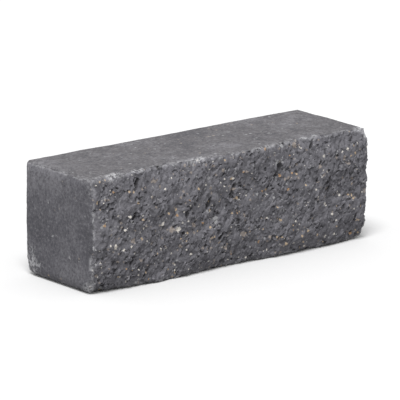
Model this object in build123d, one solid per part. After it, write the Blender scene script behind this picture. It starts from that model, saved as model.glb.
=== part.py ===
from build123d import *
import math
import os
import random

# A dry-laid concrete walling block. Two of them are moulded back to back as one twin block,
# which a splitting machine then breaks down the middle. Each block keeps five smooth moulded
# faces, and its sixth face, the front, is the rough break.
#
# Frame: X along the wall, -Y out of the split front, Z up. The origin is in the bed plane,
# under the middle of the block.

# Driving dimensions, in millimetres
block_length = 300.0
block_height = 100.0
block_depth = 100.0  # from the moulded back to the furthest corner of the split face
mould_edge_radius = 4.0  # rounded arrises that the mould and handling leave

# The belly of the split face, which falls back to the broken edges
bed_setback = 5.5  # how far the long broken edges lie behind the belly
bed_fall_width = 34.0  # height of the band along each long edge where the face falls back
end_setback = 1.5  # how far the upright broken edges lie behind the belly
end_fall_width = 22.0  # length of the band along each upright edge where the face falls back
belly_wander = 6.0  # how far the line of the belly strays up and down from mid-height
wander_length = 150.0  # along the block, from one high place of that line to the next

# The waves of the split face
swell_relief = 2.0  # height of the broad swells that run across several humps
swell_length = 95.0  # from one broad swell to the next
swell_slant = 0.4  # how far the swells lean from upright and level, as rise over run
hump_relief = 3.4  # from the lowest hollow to the highest hump
hump_width = 18.0  # along the block, from a hump to the next hollow
hump_rise = 28.0  # the same up the face, so that the humps stand taller than wide
hump_lean = 0.45  # how far they lean to the right as they rise, as run over rise

# The flat facets that the break leaves on those waves
facet_relief = 2.9  # how far the facets' corners stand in and out of the waves
facet_pitch = 6.0  # mean width of one facet
facet_stagger = 1.9  # how far a corner lies from its place in an even grid, at most
break_number = 1  # another number gives the break another set of humps and facets

back_plane = block_depth / 2
front_plane = back_plane - block_depth


def chance(column, row, use):
    # A fixed share from 0 to 1 for one place in a grid, different for each use
    return random.Random(f"{break_number} {use} {column} {row}").random()


def blend(first, second, share):
    # From the first value to the second, level at both
    eased = share * share * (3 - 2 * share)
    return first + (second - first) * eased


def fall_back(distance, half_width, fall_width, setback):
    # Fall towards a broken edge: none on the belly, the whole setback half a face away
    into_band = (abs(distance) - half_width) / fall_width + 1
    return setback * max(into_band, 0.0) ** 2


def belly_fall(x, z):
    belly_line = belly_wander * math.cos(math.tau * x / wander_length)
    to_beds = fall_back(z - belly_line, block_height / 2, bed_fall_width, bed_setback)
    to_ends = fall_back(x, block_length / 2, end_fall_width, end_setback)
    return to_beds + to_ends


def swell(x, z):
    # Two crossing broad waves, from 0 to the swell's height
    along = math.sin(math.tau * (x + swell_slant * z) / swell_length)
    across = math.cos(math.tau * (z - swell_slant * x) / swell_length)
    return swell_relief * (2 + along + across) / 4


def hump(x, z):
    # Rolling ground between random heights, one for each hump or hollow
    column, along = divmod((x - hump_lean * z) / hump_width, 1)
    row, upward = divmod(z / hump_rise, 1)
    low = blend(chance(column, row, "hump"), chance(column + 1, row, "hump"), along)
    high = blend(chance(column, row + 1, "hump"), chance(column + 1, row + 1, "hump"), along)
    return hump_relief * blend(low, high, upward)


def facet_corner(column, row):
    # A corner of the facets, in a frame whose middle is the middle of the split face and whose
    # Y is the depth behind an even plane
    x = column * facet_pitch + facet_stagger * (2 * chance(column, row, "aside") - 1)
    z = row * facet_pitch + facet_stagger * (2 * chance(column, row, "upward") - 1)
    waves = belly_fall(x, z) + swell(x, z) + hump(x, z)
    return Vector(x, waves + facet_relief * chance(column, row, "inward"), z)


def facets_of_cell(column, row):
    # Two triangles, cut along one diagonal of the cell or the other
    a = facet_corner(column, row)
    b = facet_corner(column + 1, row)
    c = facet_corner(column + 1, row + 1)
    d = facet_corner(column, row + 1)
    if chance(column, row, "diagonal") < 0.5:
        return [(a, b, c), (a, c, d)]
    return [(a, b, d), (b, c, d)]


def cells_past(half_width):
    # Cells from the middle of the face to clear of the twin block
    return math.ceil((half_width + facet_stagger) / facet_pitch) + 1


def on_the_block(corner):
    return abs(corner.X) < block_length / 2 and abs(corner.Z) < block_height / 2


def fracture_shell():
    # The facets as one shell, reaching past the twin block on every side
    columns = cells_past(block_length / 2)
    rows = cells_past(block_height / 2)
    cells = [(column, row) for column in range(-columns, columns) for row in range(-rows, rows)]
    facets = [facet for cell in cells for facet in facets_of_cell(*cell)]
    crest = min(corner.Y for facet in facets for corner in facet if on_the_block(corner))
    shell = Shell([Face(Wire.make_polygon(facet)) for facet in facets])
    return Pos(0, front_plane - crest, block_height / 2) * shell


def twin_block():
    # The twin as it leaves the mould, with its middle on the nominal front plane
    twin = Pos(0, front_plane, block_height / 2) * Box(block_length, 2 * block_depth, block_height)
    return fillet(twin.edges(), mould_edge_radius)


def wall_block():
    # The half of the twin behind the break
    halves = split(twin_block(), bisect_by=fracture_shell(), keep=Keep.ALL)
    return halves.solids().sort_by(Axis.Y)[-1]


block = wall_block()
block.label = "wall_block"
os.makedirs("parts", exist_ok=True)
export_step(block, "parts/wall_block.step")

box = block.bounding_box()
print(f"wall_block {box.size.X:.2f} x {box.size.Y:.2f} x {box.size.Z:.2f} mm")
print(f"front at {box.min.Y:.2f} mm, {block.volume / 1e6:.3f} litres, {len(block.faces())} faces")
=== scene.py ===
import math

import bmesh
import bpy
import numpy as np
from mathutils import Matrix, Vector


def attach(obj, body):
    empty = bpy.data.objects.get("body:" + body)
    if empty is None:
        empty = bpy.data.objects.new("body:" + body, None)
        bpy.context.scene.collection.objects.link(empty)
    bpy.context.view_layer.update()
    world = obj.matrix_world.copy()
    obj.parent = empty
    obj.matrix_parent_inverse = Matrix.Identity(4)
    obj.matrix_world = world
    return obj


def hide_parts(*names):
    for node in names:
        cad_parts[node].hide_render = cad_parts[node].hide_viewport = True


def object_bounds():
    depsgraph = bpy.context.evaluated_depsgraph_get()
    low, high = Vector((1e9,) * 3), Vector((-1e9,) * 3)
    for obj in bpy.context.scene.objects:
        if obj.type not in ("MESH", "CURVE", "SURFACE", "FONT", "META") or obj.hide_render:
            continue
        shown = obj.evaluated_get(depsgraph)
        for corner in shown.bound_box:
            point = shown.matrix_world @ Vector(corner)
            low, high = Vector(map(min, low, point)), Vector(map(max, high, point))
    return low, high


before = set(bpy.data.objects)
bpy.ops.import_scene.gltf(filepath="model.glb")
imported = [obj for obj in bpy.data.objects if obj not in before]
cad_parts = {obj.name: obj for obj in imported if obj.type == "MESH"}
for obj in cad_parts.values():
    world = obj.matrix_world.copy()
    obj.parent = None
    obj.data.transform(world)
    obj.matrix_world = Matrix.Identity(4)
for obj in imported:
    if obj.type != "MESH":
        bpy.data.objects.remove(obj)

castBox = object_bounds()
print("stage: cast block loaded")

meanLuck = 0.5  # of a noise, or of the luck of a cell: both run from 0 to 1
wholeSwing = 2.0  # makes -1 to 1 of luck that has its mean taken off
perMetre = 1000.0  # millimetres, in which the finish reads heights and gaps


class Wire:  # a node's output that can be used in plain arithmetic
    def __init__(self, bench, socket):
        self.bench = bench
        self.socket = socket

    def __getitem__(self, name):  # another output of the same node
        return Wire(self.bench, findSocket(self.socket.node.outputs, name))

    def __add__(self, other):
        return self.bench.math("ADD", self, other)

    def __radd__(self, other):
        return self.bench.math("ADD", other, self)

    def __sub__(self, other):
        return self.bench.math("SUBTRACT", self, other)

    def __rsub__(self, other):
        return self.bench.math("SUBTRACT", other, self)

    def __mul__(self, other):
        return self.bench.math("MULTIPLY", self, other)

    def __rmul__(self, other):
        return self.bench.math("MULTIPLY", other, self)

    def __truediv__(self, other):
        return self.bench.math("DIVIDE", self, other)

    def __rtruediv__(self, other):
        return self.bench.math("DIVIDE", other, self)

    def __lt__(self, other):
        return self.bench.math("LESS_THAN", self, other)

    def __gt__(self, other):
        return self.bench.math("GREATER_THAN", self, other)


def findSocket(sockets, key):  # by place, identifier or name
    if isinstance(key, int):
        return sockets[key]
    return next(s for s in sockets if key in (s.identifier, s.name))


class Bench:  # adds nodes to one tree
    def __init__(self, tree):
        self.tree = tree

    def node(self, kind, settings=None, sockets=None, output=0):
        made = self.tree.nodes.new(kind)
        for name, value in (settings or {}).items():
            setattr(made, name, value)
        for name, value in (sockets or {}).items():
            target = findSocket(made.inputs, name)
            if isinstance(value, Wire):
                self.tree.links.new(value.socket, target)
            else:
                target.default_value = value
        return Wire(self, findSocket(made.outputs, output)) if made.outputs else made

    def math(self, operation, *values):
        return self.node("ShaderNodeMath", {"operation": operation}, dict(enumerate(values)))

    def least(self, *values):
        low = values[0]
        for value in values[1:]:
            low = self.math("MINIMUM", low, value)
        return low

    def most(self, *values):
        high = values[0]
        for value in values[1:]:
            high = self.math("MAXIMUM", high, value)
        return high

    def vector(self, operation, *values, output=0):
        sockets = dict(enumerate(values))
        return self.node("ShaderNodeVectorMath", {"operation": operation}, sockets, output)

    def scaled(self, vector, factor):
        return self.node("ShaderNodeVectorMath", {"operation": "SCALE"}, {0: vector, "Scale": factor})

    def centred(self, colour):  # three random shares, from -0.5 to 0.5
        return self.vector("SUBTRACT", colour, (meanLuck, meanLuck, meanLuck))

    def distance(self, place, target):
        return self.vector("DISTANCE", place, target, output="Value")

    def parts(self, vector):
        return self.node("ShaderNodeSeparateXYZ", {}, {0: vector})

    def joined(self, x, y, z):
        return self.node("ShaderNodeCombineXYZ", {}, {0: x, 1: y, 2: z})

    def ramp(self, value, low, high, start=0.0, end=1.0):  # eased from start at low to end at high
        places = {"Value": value, "From Min": low, "From Max": high, "To Min": start, "To Max": end}
        return self.node("ShaderNodeMapRange", {"interpolation_type": "SMOOTHSTEP"}, places)

    def noise(self, place, size, detail=2.0, roughness=0.5):  # mostly from 0.3 to 0.7
        scale = 1.0 / size
        sockets = {"Vector": place, "Scale": scale, "Detail": detail, "Roughness": roughness}
        return self.node("ShaderNodeTexNoise", {}, sockets)

    def cells(self, place, size):  # scattered points, each with its luck as a colour
        scale = 1.0 / size
        return self.node("ShaderNodeTexVoronoi", {}, {"Vector": place, "Scale": scale})

    def mix(self, factor, first, second):
        sockets = {"Factor_Float": factor, "A_Color": first, "B_Color": second}
        return self.node("ShaderNodeMix", {"data_type": "RGBA"}, sockets, "Result_Color")


# The fine relief of the split face and of the edges, in metres: the inputs of the carving tree
relief = {
    "stoneSize": 0.0060,  # gravel, standing proud or torn out
    "stoneHeight": 0.0005,
    "gritSize": 0.0030,  # angular grains of the broken mortar
    "gritStretch": 1.25,  # their height over their width
    "gritSlope": 0.36,  # most tilt along one axis, as rise over run
    "gritStep": 0.00040,
    "sandSize": 0.0017,
    "sandHeight": 0.0004,
    "pitSize": 0.0036,
    "pitDepth": 0.0006,
    "creviceSpacing": 0.011,  # dark hollows beside the facets
    "creviceStretch": 2.6,  # their height over their width
    "creviceDepth": 0.0031,
    "lean": 0.45,  # run over rise of the grains and hollows, as of the cast humps
    "arrisWidth": 0.0040,  # band along every edge that gets knocked
    "chipSize": 0.009,
    "chipDepth": 0.0020,
    "rubWidth": 0.0095,  # band along the moulded edges that is rubbed round
    "rubDepth": 0.0012,
    "breakRubWidth": 0.0045,  # the same along the edges of the break
    "breakRubDepth": 0.0008,
    "cornerReach": 0.017,  # the crumbled lower back corner of the left end
    "cornerDepth": 0.0020,
    "poreSpacing": 0.0095,  # blowholes of the moulded faces
    "poreDepth": 0.0006,
    "seed": 3.0,
}


def leaning(bench, place, lean, stretch):
    # The place in a frame that leans and is squeezed, in which round forms lean and stand tall
    at = bench.parts(place)
    return bench.joined(at["X"] - at["Z"] * lean, at["Y"], at["Z"] / stretch)


def ruffled(bench, place, size):
    # The place pushed about, in which round stones become angular
    pushSize = 0.7  # both are shares of a stone's size
    pushReach = 0.9
    push = bench.centred(bench.noise(place, size * pushSize, detail=1.0)["Color"])
    return bench.vector("ADD", place, bench.scaled(push, size * pushReach))


def gravel(bench, place, size):
    # Stones in their cells: the distance from a stone's middle, 1 at its edge, and the stone's luck
    leastRadius = 0.26  # both are shares of a cell
    radiusSpread = 0.26
    stone = bench.cells(ruffled(bench, place, size), size)
    radius = leastRadius + radiusSpread * bench.parts(stone["Color"])["X"]
    return stone["Distance"] / radius, stone["Color"]


def stonesAndSockets(bench, place, size, height):
    # Some stones stand proud, some have left a socket, and the rest are broken through
    proudBelow = 0.48  # luck
    tornAbove = 0.76
    socketDepth = 0.8  # over the height of a proud stone
    leastHeight = 0.5  # to which luck adds up to 1
    near, colour = gravel(bench, place, size)
    luck = bench.parts(colour)
    dome = bench.math("SQRT", bench.most(1.0 - near * near, 0.0))
    proud = luck["Y"] < proudBelow
    torn = luck["Y"] > tornAbove
    return dome * (proud - socketDepth * torn) * height * (leastHeight + luck["Z"])


def brokenGrains(bench, place, size, slope, step):
    # Each grain has broken off at a height and a tilt of its own
    grain = bench.cells(place, size)
    luck = bench.centred(grain["Color"])
    out = bench.vector("SUBTRACT", place, grain["Position"])
    tilt = bench.vector("DOT_PRODUCT", out, luck, output="Value") * wholeSwing * slope
    return tilt + bench.parts(luck)["Y"] * wholeSwing * step


def hollows(bench, place, spacing, radii, floorShare, bareShare):
    # Round hollows, one in a cell, 0 outside and 1 on the floor; some cells have none
    leastRadius, radiusSpread = radii  # shares of the spacing
    hole = bench.cells(place, spacing)
    luck = bench.parts(hole["Color"])
    radius = leastRadius + radiusSpread * luck["X"]
    return bench.ramp(hole["Distance"] / radius, 1.0, floorShare) * (luck["Y"] > bareShare)


def crevices(bench, place, size):
    # Ragged hollows, which lean as the humps of the cast shape do
    bendSize = 0.005
    bendReach = 0.006
    bend = bench.centred(bench.noise(place, bendSize)["Color"])
    bent = bench.vector("ADD", place, bench.scaled(bend, bendReach))
    tall = leaning(bench, bent, size["lean"], size["creviceStretch"])
    return hollows(bench, tall, size["creviceSpacing"], radii=(0.16, 0.18), floorShare=0.25, bareShare=0.25)


def splitRelief(bench, place, toMoulded, size):
    # Height of the broken face above the facets of the cast shape
    pitLevels = (0.58, 0.70)  # of noise, from no pit to the whole depth
    coarseSize = 0.020  # some places are calmer and some rougher
    coarseLevels = (0.36, 0.64)
    coarseShares = (0.55, 1.30)
    edgeBand = (0.002, 0.010)  # hollows are shallow near the edges, so that they don't notch them
    edgeShare = 0.25
    stones = stonesAndSockets(bench, place, size["stoneSize"], size["stoneHeight"])
    tall = leaning(bench, place, size["lean"], size["gritStretch"])
    grit = brokenGrains(bench, tall, size["gritSize"], size["gritSlope"], size["gritStep"])
    sandNoise = bench.noise(place, size["sandSize"], roughness=0.6)
    sand = (sandNoise - meanLuck) * wholeSwing * size["sandHeight"]
    pit = bench.ramp(bench.noise(place, size["pitSize"]), *pitLevels) * size["pitDepth"]
    coarse = bench.ramp(bench.noise(place, coarseSize), *coarseLevels, *coarseShares)
    shallow = bench.ramp(toMoulded, *edgeBand, start=edgeShare)
    hollow = crevices(bench, place, size) * shallow * size["creviceDepth"]
    return (stones + grit + sand - pit) * coarse - hollow


def mouldedSkin(bench, place):
    # Nearly flat; the noise lies low, so that hardly any of it stands proud of the cast face
    flushLevel = 0.7
    waveSize, waveHeight = 0.06, 0.0005
    grainSize, grainHeight = 0.004, 0.0004
    wave = (bench.noise(place, waveSize) - flushLevel) * waveHeight
    grain = (bench.noise(place, grainSize, detail=4.0, roughness=0.7) - flushLevel) * grainHeight
    return wave + grain


def blowholes(bench, place, size):
    hole = hollows(bench, place, size["poreSpacing"], radii=(0.06, 0.07), floorShare=0.4, bareShare=0.62)
    return hole * size["poreDepth"]


def mouldEdgeGap(bench, spot):
    # Distance to the nearest moulded edge: of the distances to an end, a bed and the back, the least is
    # to the face at hand and the middle one to its edge
    low, high = castBox
    at = bench.parts(spot)
    toEnd = (high.x - low.x) / 2 - bench.math("ABSOLUTE", at["X"])
    toBed = (high.z - low.z) / 2 - bench.math("ABSOLUTE", at["Z"] - (high.z + low.z) / 2)
    toBack = high.y - at["Y"]
    nearest = bench.least(toEnd, toBed, toBack)
    furthest = bench.most(toEnd, toBed, toBack)
    return toEnd + toBed + toBack - nearest - furthest


def knockedEdges(bench, place, gap, size):
    # Chips, and crumbs between them
    chipLevels = (0.50, 0.70)
    crumbSize = 0.0055
    crumbLevel = 0.46
    crumbDepth = 0.0050  # for noise 1 above that level
    chip = bench.ramp(bench.noise(place, size["chipSize"], detail=3.0, roughness=0.6), *chipLevels)
    crumbNoise = bench.noise(place, crumbSize, detail=4.0, roughness=0.7)
    crumb = bench.most(crumbNoise - crumbLevel, 0.0) * crumbDepth
    band = bench.ramp(gap, size["arrisWidth"], 0.0)
    return band * (chip * size["chipDepth"] + crumb)


def rubbedEdges(bench, place, mouldGap, breakGap, split, size):
    # Edges rubbed round, more in some places than in others
    unevenSize = 0.05
    unevenLevels = (0.3, 0.7)
    unevenShares = (0.5, 1.3)
    rubbedAway = 0.001  # the whole depth, this near to the edge
    uneven = bench.ramp(bench.noise(place, unevenSize), *unevenLevels, *unevenShares)
    rub = bench.ramp(mouldGap, size["rubWidth"], rubbedAway) * size["rubDepth"] * uneven * (1.0 - split)
    breakRub = bench.ramp(breakGap, size["breakRubWidth"], 0.0) * size["breakRubDepth"] * uneven
    return rub, breakRub


def crumbledCorner(bench, place, spot, size):
    raggedSize = 0.009
    raggedReach = 0.03
    core = 0.003  # the whole depth, this near to the corner
    low, high = castBox
    ragged = bench.noise(place, raggedSize, detail=4.0, roughness=0.7)
    away = bench.distance(spot, (low.x, high.y, low.z)) + (ragged - meanLuck) * raggedReach
    return bench.ramp(away, size["cornerReach"], core) * size["cornerDepth"]


def reliefTree(finish):
    brokenFacing = -0.03  # Y of a normal: facets of the break face further forward than this
    splitBand = (-0.0004, 0.0012)  # over which the break takes over from the moulded skin
    calmBand = (0.0, 0.006)  # the break is calmer near its edges
    calmShare = 0.65
    seedSteps = (0.37, 0.73, 0.19)  # along each axis, for each seed

    tree = bpy.data.node_groups.new("splitFaceRelief", "GeometryNodeTree")
    tree.interface.new_socket("Geometry", in_out="INPUT", socket_type="NodeSocketGeometry")
    tree.interface.new_socket("castShape", in_out="INPUT", socket_type="NodeSocketObject")
    for name, value in relief.items():
        socket = tree.interface.new_socket(name, in_out="INPUT", socket_type="NodeSocketFloat")
        socket.default_value = value
    tree.interface.new_socket("Geometry", in_out="OUTPUT", socket_type="NodeSocketGeometry")
    bench = Bench(tree)
    given = bench.node("NodeGroupInput")

    # Distances to the broken face and to the moulded ones
    whole = {"Object": given["castShape"]}
    cast = bench.node("GeometryNodeObjectInfo", {"transform_space": "ORIGINAL"}, whole, "Geometry")
    normal = bench.node("GeometryNodeInputNormal")
    picked = {"Geometry": cast, "Selection": bench.parts(normal)["Y"] < brokenFacing}
    broken = bench.node("GeometryNodeSeparateGeometry", {"domain": "FACE"}, picked)
    faces = {"target_element": "FACES"}
    toBroken = bench.node("GeometryNodeProximity", faces, {0: broken["Selection"]}, "Distance")
    toMoulded = bench.node("GeometryNodeProximity", faces, {0: broken["Inverted"]}, "Distance")
    split = bench.ramp(toMoulded - toBroken, *splitBand)

    spot = bench.node("GeometryNodeInputPosition")
    shift = bench.joined(*[given["seed"] * step for step in seedSteps])
    place = bench.vector("ADD", spot, shift)
    breakGap = toBroken * (1.0 - split) + toMoulded * split
    mouldGap = mouldEdgeGap(bench, spot)
    gap = bench.least(mouldGap, breakGap)

    # Height above the cast shape
    rough = splitRelief(bench, place, toMoulded, given)
    calm = bench.ramp(toMoulded, *calmBand, start=calmShare)
    pore = blowholes(bench, place, given)
    skin = mouldedSkin(bench, place)
    chip = knockedEdges(bench, place, gap, given)
    rub, breakRub = rubbedEdges(bench, place, mouldGap, breakGap, split, given)
    corner = crumbledCorner(bench, place, spot, given)
    height = rough * calm * split + (skin - pore) * (1.0 - split) - chip - rub - breakRub - corner

    # What the finish reads
    # the height of the relief, from which the finish paints shade into hollows and a highlight onto crests
    cavity = rough * split - pore * (1.0 - split)
    numbers = {"splitShare": split, "cavity": cavity * perMetre,
               "arrisGap": gap * perMetre, "breakGap": breakGap * perMetre}
    stored = [("grainPlace", "FLOAT_VECTOR", place)]
    stored += [(name, "FLOAT", value) for name, value in numbers.items()]
    shape = given["Geometry"]
    for name, kind, value in stored:
        shape = bench.node("GeometryNodeStoreNamedAttribute", {"data_type": kind, "domain": "POINT"},
                           {"Geometry": shape, "Name": name, "Value": value})

    offset = bench.scaled(normal, height)
    shape = bench.node("GeometryNodeSetPosition", {}, {"Geometry": shape, "Offset": offset})
    shape = bench.node("GeometryNodeRealizeInstances", {}, {"Geometry": shape})
    shape = bench.node("GeometryNodeSetMaterial", {}, {"Geometry": shape, "Material": finish})
    bench.node("NodeGroupOutput", {}, {"Geometry": shape})
    return tree


block = {
    "node": "wall_block",
    "slot": "concrete",
    "name": "wall_block_concrete",
    "mergeWithin": 0.000001,  # metres, for the loose corners of the cast mesh
    "voxel": 0.00070,  # mesh step before thinning
    "triangles": 190000,  # after thinning
    "sharpAngle": 48.0,  # degrees between two faces that are not shaded as one
    "mapGap": 0.004,  # metres between the sides on the flat map
}


def plainMesh(obj, name):  # what the modifiers make of an object, as a mesh of its own
    bpy.context.view_layer.update()
    shown = obj.evaluated_get(bpy.context.evaluated_depsgraph_get())
    mesh = bpy.data.meshes.new_from_object(shown)
    mesh.name = name
    return mesh


def triangleCount(mesh):
    mesh.calc_loop_triangles()
    return len(mesh.loop_triangles)


def concreteBlock(finish):
    # A closed copy of the cast shape, in small even steps
    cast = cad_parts[block["node"]]
    mesh = cast.data.copy()
    mesh.materials.clear()
    edit = bmesh.new()
    edit.from_mesh(mesh)
    bmesh.ops.remove_doubles(edit, verts=edit.verts, dist=block["mergeWithin"])
    edit.to_mesh(mesh)
    edit.free()
    piece = bpy.data.objects.new(block["name"], mesh)
    bpy.context.scene.collection.objects.link(piece)
    even = piece.modifiers.new("even", "REMESH")
    even.mode = "VOXEL"
    even.voxel_size = block["voxel"]

    # The broken face and the knocked edges
    tree = reliefTree(finish)
    carve = piece.modifiers.new("carve", "NODES")
    carve.node_group = tree
    inputs = {**relief, "castShape": cast}
    for socket in tree.interface.items_tree:
        if socket.in_out == "INPUT" and socket.name in inputs:
            carve[socket.identifier] = inputs[socket.name]
    carved = plainMesh(piece, "carved")
    print("stage: carved", triangleCount(carved), "triangles")

    # Fewer triangles where the surface is even
    piece.modifiers.clear()
    piece.data = carved
    thin = piece.modifiers.new("thin", "DECIMATE")
    thin.ratio = block["triangles"] / triangleCount(carved)
    thin.use_collapse_triangulate = True
    thinned = plainMesh(piece, block["name"])
    piece.modifiers.clear()
    piece.data = thinned
    thinned.shade_smooth()
    thinned.set_sharp_from_angle(angle=math.radians(block["sharpAngle"]))
    print("stage: thinned", triangleCount(thinned), "triangles")
    return piece


def readAll(items, name, width=1, kind=float):
    # One property of many mesh items, as an array with a row for each item
    values = np.empty(len(items) * width, kind)
    items.foreach_get(name, values)
    return values.reshape(-1, width) if width > 1 else values


def unwrapSides(piece):
    # Which of the six sides each face belongs to
    mostly = 0.5  # share of the break from which a face is part of it
    mesh = piece.data
    count = len(mesh.polygons)
    normals = readAll(mesh.polygons, "normal", 3)
    totals = readAll(mesh.polygons, "loop_total", kind=int)
    corners = readAll(mesh.loops, "vertex_index", kind=int)
    share = readAll(mesh.attributes["splitShare"].data, "value")
    owner = np.repeat(np.arange(count), totals)
    splitFace = np.bincount(owner, share[corners], count) / totals > mostly
    axis = np.abs(normals).argmax(1)
    toward = np.take_along_axis(normals, axis[:, None], 1)[:, 0] > 0
    front, back, top, bottom, left, right = range(6)
    beds = np.where(toward, top, bottom)
    ends = np.where(toward, right, left)
    side = np.select([splitFace, axis == 2, axis == 0], [front, beds, ends], back)

    # One flat island for each side, laid out as a map of the block
    at = readAll(mesh.vertices, "co", 3)[corners]
    low = np.array(castBox[0])
    length, depth, height = np.array(castBox[1]) - low
    gap = block["mapGap"]
    row = max(depth, height) + gap
    along, across, up = (at - low).T
    flat = {
        front: (along, up),
        back: (along, up + row),
        top: (along, across + 2 * row),
        bottom: (along, across + 3 * row),
        left: (across + length + gap, up),
        right: (across + length + gap, up + row),
    }
    whole = 4 * row + 2 * gap
    uv = np.zeros((len(corners), 2))
    for number, (u, v) in flat.items():
        mine = side[owner] == number
        uv[mine, 0] = (u[mine] + gap) / whole
        uv[mine, 1] = (v[mine] + gap) / whole
    layer = mesh.uv_layers.new(name="OFBake")
    layer.data.foreach_set("uv", uv.ravel())
    print("stage: six sides laid flat")


# Colours are linear. Levels are of a noise, or of a height in millimetres for the cavity
concrete = {
    "mouldedTone": (0.165, 0.162, 0.182, 1.0),
    "mouldedPale": (0.285, 0.280, 0.300, 1.0),
    "mouldedDark": (0.078, 0.077, 0.088, 1.0),
    "bedDust": (0.149, 0.143, 0.150, 1.0),
    "brokenTone": (0.157, 0.153, 0.171, 1.0),
    "brokenDark": (0.078, 0.077, 0.087, 1.0),
    # painted shade, laid into pits, crevices and blowholes by their depth
    "brokenDeep": (0.026, 0.025, 0.027, 1.0),
    "brokenPale": (0.294, 0.288, 0.314, 1.0),
    "stoneWhite": (0.76, 0.72, 0.66, 1.0),
    "stoneTan": (0.56, 0.44, 0.31, 1.0),
    "stoneBuff": (0.33, 0.29, 0.265, 1.0),
    "stoneRust": (0.50, 0.33, 0.20, 1.0),
    "stoneGrey": (0.34, 0.34, 0.35, 1.0),
    "scuff": (0.64, 0.64, 0.66, 1.0),
    "roughness": 0.92,
    "roughnessSwing": 0.12,
    "specular": 0.3,
    "bumpStrength": 0.7,
    "bumpDepth": 0.0005,
    "noises": {  # size in metres, detail, roughness
        "cloud": (0.022, 3.0, 0.6),
        "grain": (0.0022, 3.0, 0.7),
        "mottle": (0.040, 3.0, 0.6),
        "blotch": (0.011, 4.0, 0.7),
        "speckle": (0.0026, 4.0, 0.8),
        "patch": (0.020, 2.0, 0.5),
        "rub": (0.0045, 3.0, 0.7),
        "ragged": (0.009, 4.0, 0.7),
        "fine": (0.0011, 3.0, 0.75),
    },
    # Tones, each laid over the one before: the pattern, its levels where the tone begins and is whole,
    # the tone's strength, what the upper bed adds to that, and the colour
    "brokenTones": [
        ("grain", 0.52, 0.30, 0.50, 0.0, "brokenDark"),
        ("grain", 0.54, 0.74, 0.45, 0.0, "brokenPale"),
        ("cloud", 0.48, 0.75, 0.30, 0.0, "brokenPale"),
        # painted highlight on the crests of the break, by their height
        ("cavity", 0.2, 1.0, 0.30, 0.0, "brokenPale"),
        # painted shade in the pits, sockets and crevices of the break, by their depth
        ("cavity", -0.1, -1.4, 0.75, 0.0, "brokenDeep"),
    ],
    "mouldedTones": [
        ("mottle", 0.46, 0.76, 0.55, 0.0, "mouldedPale"),
        ("mottle", 0.48, 0.22, 0.45, 0.25, "mouldedDark"),
        ("blotch", 0.50, 0.28, 0.45, 0.25, "mouldedDark"),
        ("blotch", 0.50, 0.74, 0.45, 0.0, "mouldedPale"),
        ("speckle", 0.52, 0.32, 0.85, 0.10, "mouldedDark"),
        ("speckle", 0.50, 0.72, 0.85, -0.15, "mouldedPale"),
        # painted shade in the blowholes, by their depth
        ("cavity", -0.1, -0.5, 0.7, 0.0, "brokenDeep"),
    ],
    # Stones that show: the size of their cells in metres, and the share of them in each colour
    "brokenStones": [
        (0.0020, {"stoneWhite": 0.016, "stoneGrey": 0.060}),
        (relief["gritSize"], {"stoneWhite": 0.027, "stoneTan": 0.030, "stoneRust": 0.008,
                              "stoneGrey": 0.030, "stoneBuff": 0.070}),
        (relief["stoneSize"], {"stoneWhite": 0.004, "stoneTan": 0.004, "stoneGrey": 0.016,
                               "stoneBuff": 0.045}),
    ],
    "mouldedStones": [
        (relief["gritSize"], {"stoneGrey": 0.025, "stoneBuff": 0.012, "stoneTan": 0.001}),
    ],
    # Pale wear along the edges of the break, then along all edges: millimetres from the edge where it
    # begins and is whole, levels of the patches and of the rubbing, strength, what the upper bed adds
    "wear": [
        ("breakGap", (3.6, 0.6), (0.48, 0.62), (0.40, 0.60), 0.85, 0.0),
        ("arrisGap", (4.8, 0.5), (0.32, 0.54), (0.45, 0.61), 0.75, -0.35),
    ],
    # Pale bruises: x, y, z, the reach and the spread from the edge, all in metres, and how pale
    "bruises": [
        (-0.150, 0.044, 0.008, 0.022, 0.030, 1.0),
        (-0.150, 0.047, 0.004, 0.010, 0.012, 1.0),
        (-0.149, -0.038, 0.005, 0.008, 0.010, 1.0),
        (-0.138, -0.044, 0.097, 0.022, 0.007, 0.3),
        (-0.126, -0.041, 0.100, 0.012, 0.007, 1.0),
        (-0.099, -0.041, 0.100, 0.012, 0.004, 0.9),
        (-0.037, -0.041, 0.099, 0.010, 0.005, 0.9),
        (0.035, -0.041, 0.100, 0.015, 0.004, 0.8),
        (-0.150, -0.046, 0.060, 0.014, 0.002, 1.0),
        (-0.150, -0.045, 0.044, 0.010, 0.002, 0.9),
        (0.146, -0.042, 0.098, 0.010, 0.008, 0.8),
        (0.150, 0.048, 0.100, 0.009, 0.008, 0.7),
        (0.040, 0.050, 0.100, 0.012, 0.006, 0.5),
        (0.060, -0.041, 0.000, 0.010, 0.006, 0.8),
    ],
    "scuffCover": 0.85,  # strength of the wear and the bruises together
}


def laidTones(bench, look, tones, under):
    for pattern, begin, whole, strength, bedAdds, tone in tones:
        cover = bench.ramp(look[pattern], begin, whole) * (strength + bedAdds * look["upper"])
        under = bench.mix(cover, under, concrete[tone])
    return under


def shownStones(bench, place, size, shares, under):
    # Paints some of the stones of one size over the colour under them
    edgeSize = 0.3  # of the ragged outline, as a share of the stones' size
    edgeReach = 0.7
    solid = 0.82  # of a stone's radius
    near, colour = gravel(bench, place, size)
    ragged = near + (bench.noise(place, size * edgeSize) - meanLuck) * edgeReach
    inside = bench.ramp(ragged, 1.0, solid)
    lot = bench.node("ShaderNodeTexWhiteNoise", {}, {"Vector": colour}, "Color")
    pick = bench.parts(lot)["X"]
    start = 0.0
    for tone, share in shares.items():
        chosen = (pick > start) * (pick < start + share) * inside
        under = bench.mix(chosen, under, concrete[tone])
        start += share
    return under


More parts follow.
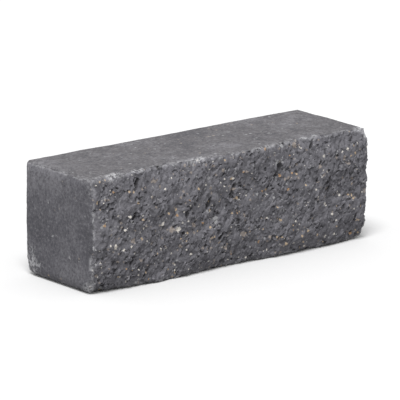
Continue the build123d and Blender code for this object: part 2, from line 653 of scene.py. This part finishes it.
def brokenFace(bench, place, look):
    # Grains of several greys, painted shade in the pits and a painted highlight on the crests, then the
    # gravel
    evenTone = 0.40  # how far the grains' greys are drawn together
    tall = leaning(bench, place, relief["lean"], relief["gritStretch"])
    grit = bench.parts(bench.cells(tall, relief["gritSize"])["Color"])
    broken = bench.mix(grit["Z"], concrete["brokenDark"], concrete["brokenPale"])
    broken = bench.mix(evenTone, broken, concrete["brokenTone"])
    broken = laidTones(bench, look, concrete["brokenTones"], broken)
    for size, shares in concrete["brokenStones"]:
        broken = shownStones(bench, place, size, shares, broken)
    return broken


def mouldedFaces(bench, place, look, at):
    # Mottled, sandy cement skin, with painted light and shade: paler upwards and towards the back, darker
    # lower down; a warmer, darker tint on the upper bed
    backLift = 0.35
    raggedReach = 0.05
    paintedLightBand = (0.055, 0.118)  # height where it begins and where it is whole
    paintedLightShare = 0.38
    paintedShadeShare = 0.30
    # painted light and shade on the sides: paler upwards and towards the back, darker lower down
    raised = at["Z"] + at["Y"] * backLift + (look["mottle"] - meanLuck) * raggedReach
    pale = bench.ramp(raised, *paintedLightBand)
    moulded = bench.mix(pale * paintedLightShare, concrete["mouldedTone"], concrete["mouldedPale"])
    moulded = bench.mix((1.0 - pale) * paintedShadeShare, moulded, concrete["mouldedDark"])
    # a warmer, darker tint over the upper bed
    moulded = bench.mix(look["upper"], moulded, concrete["bedDust"])
    moulded = laidTones(bench, look, concrete["mouldedTones"], moulded)
    for size, shares in concrete["mouldedStones"]:
        moulded = shownStones(bench, place, size, shares, moulded)
    return moulded


def paleScuffs(bench, look, spot):
    # Patches along the edges, then bruises
    worn = 0.0
    for gap, band, patches, rubbing, strength, bedAdds in concrete["wear"]:
        cover = bench.ramp(look[gap], *band)
        cover = cover * bench.ramp(look["patch"], *patches) * bench.ramp(look["rub"], *rubbing)
        worn = bench.most(worn, cover * (strength + bedAdds * look["upper"]))

    raggedReach = 2.2  # both are shares of a bruise's reach
    solid = 0.45
    solidSpread = 0.3  # share of its spread from the edge over which it is whole
    rubLevels = (0.36, 0.52)
    speckleLevels = (0.38, 0.56)
    crumbly = bench.ramp(look["rub"], *rubLevels) * bench.ramp(look["speckle"], *speckleLevels)
    for x, y, z, reach, spread, strength in concrete["bruises"]:
        away = bench.distance(spot, (x, y, z)) / reach + (look["ragged"] - meanLuck) * raggedReach
        wide = spread * perMetre
        onEdge = bench.ramp(look["arrisGap"], wide, wide * solidSpread)
        bruise = bench.ramp(away, 1.0, solid) * crumbly * onEdge
        worn = bench.most(worn, bruise * strength)
    return worn


def concreteFinish():
    bedBand = (0.005, 0.0008)  # below the top, where the upper bed begins and is whole
    finish = bpy.data.materials.new("splitConcrete")
    finish.use_nodes = True
    tree = finish.node_tree
    tree.nodes.clear()
    bench = Bench(tree)

    # What the tones follow: attributes of the mesh, noises, and the height
    place = bench.node("ShaderNodeAttribute", {"attribute_name": "grainPlace"}, {}, "Vector")
    look = {}
    for name in ("splitShare", "cavity", "arrisGap", "breakGap"):
        look[name] = bench.node("ShaderNodeAttribute", {"attribute_name": name}, {}, "Fac")
    for name, (size, detail, roughness) in concrete["noises"].items():
        look[name] = bench.noise(place, size, detail, roughness)
    spot = bench.node("ShaderNodeTexCoord", {}, {}, "Object")
    at = bench.parts(spot)
    topHeight = castBox[1].z
    look["upper"] = bench.ramp(at["Z"], *[topHeight - below for below in bedBand])

    moulded = mouldedFaces(bench, place, look, at)
    broken = brokenFace(bench, place, look)
    colour = bench.mix(look["splitShare"], moulded, broken)
    worn = paleScuffs(bench, look, spot)
    colour = bench.mix(worn * concrete["scuffCover"], colour, concrete["scuff"])

    bump = bench.node("ShaderNodeBump", {}, {
        "Strength": concrete["bumpStrength"], "Distance": concrete["bumpDepth"], "Height": look["fine"]})
    dull = concrete["roughness"] + (look["grain"] - meanLuck) * concrete["roughnessSwing"]
    shader = bench.node("ShaderNodeBsdfPrincipled", {}, {
        "Base Color": colour, "Roughness": dull, "Normal": bump,
        "Specular IOR Level": concrete["specular"]})
    bench.node("ShaderNodeOutputMaterial", {}, {"Surface": shader})
    print("stage: concrete mixed")
    return finish


studio = {
    "azimuth": -38.6,  # degrees, where the camera stands, seen from the block
    "elevation": 14.5,
    "distance": 4.0,  # metres
    "lens": 422.0,  # millimetres
    "floorHalf": 8.0,  # half of the floor's width
    "floorSeen": (0.92, 0.92, 0.92, 1.0),
    "floorBounce": (0.42, 0.42, 0.42, 1.0),
    "sky": (1.0, 1.0, 1.0, 1.0),
    "ambient": 0.57,
    "keyStrength": 2.07,
    "keySpread": 24.0,  # degrees, wide for soft shadows
    "keyFrom": (-0.3, -0.3, 0.905),  # direction, seen from the block
    "keyDistance": 2.0,
}


def added(name, data):
    obj = bpy.data.objects.new(name, data)
    bpy.context.scene.collection.objects.link(obj)
    return obj


def aim(obj, target):
    obj.rotation_euler = (Vector(target) - obj.location).to_track_quat("-Z", "Y").to_euler()


def setCamera(middle):
    turn = math.radians(studio["azimuth"])
    lift = math.radians(studio["elevation"])
    back = Vector((math.sin(turn) * math.cos(lift), -math.cos(turn) * math.cos(lift), math.sin(lift)))
    camera = added("camera", bpy.data.cameras.new("camera"))
    camera.location = middle + back * studio["distance"]
    camera.data.lens = studio["lens"]
    aim(camera, middle)
    bpy.context.scene.camera = camera


def setKey(middle):
    key = added("key", bpy.data.lights.new("key", "SUN"))
    key.data.energy = studio["keyStrength"]
    key.data.angle = math.radians(studio["keySpread"])
    key.location = middle + Vector(studio["keyFrom"]) * studio["keyDistance"]
    aim(key, middle)


def setSky():
    # White where it is seen or mirrored, dimmer as a light
    world = bpy.data.worlds.new("studio")
    world.use_nodes = True
    world.node_tree.nodes.clear()
    bench = Bench(world.node_tree)
    path = bench.node("ShaderNodeLightPath", {}, {}, "Is Camera Ray")
    seen = bench.most(path, path["Is Glossy Ray"], path["Is Transmission Ray"])
    strength = studio["ambient"] + (1.0 - studio["ambient"]) * seen
    sky = bench.node("ShaderNodeBackground", {}, {"Color": studio["sky"], "Strength": strength})
    bench.node("ShaderNodeOutputWorld", {}, {"Surface": sky})
    bpy.context.scene.world = world


def setFloor():
    # Pale where it is seen, darker for the light that it throws back
    half = studio["floorHalf"]
    corners = [(-half, -half, 0), (half, -half, 0), (half, half, 0), (-half, half, 0)]
    mesh = bpy.data.meshes.new("floor")
    mesh.from_pydata(corners, [], [(0, 1, 2, 3)])
    floor = added("floor", mesh)
    paper = bpy.data.materials.new("paleFloor")
    paper.use_nodes = True
    paper.node_tree.nodes.clear()
    bench = Bench(paper.node_tree)
    seen = bench.node("ShaderNodeLightPath", {}, {}, "Is Camera Ray")
    tone = bench.mix(seen, studio["floorBounce"], studio["floorSeen"])
    matt = bench.node("ShaderNodeBsdfDiffuse", {}, {"Color": tone})
    bench.node("ShaderNodeOutputMaterial", {}, {"Surface": matt})
    mesh.materials.append(paper)


def setStudio():
    bpy.context.scene.view_settings.view_transform = "Standard"
    middle = (castBox[0] + castBox[1]) / 2
    setCamera(middle)
    setKey(middle)
    setSky()
    setFloor()
    print("stage: studio set")


piece = concreteBlock(concreteFinish())
unwrapSides(piece)
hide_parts(block["node"])
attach(piece, "root")
setStudio()
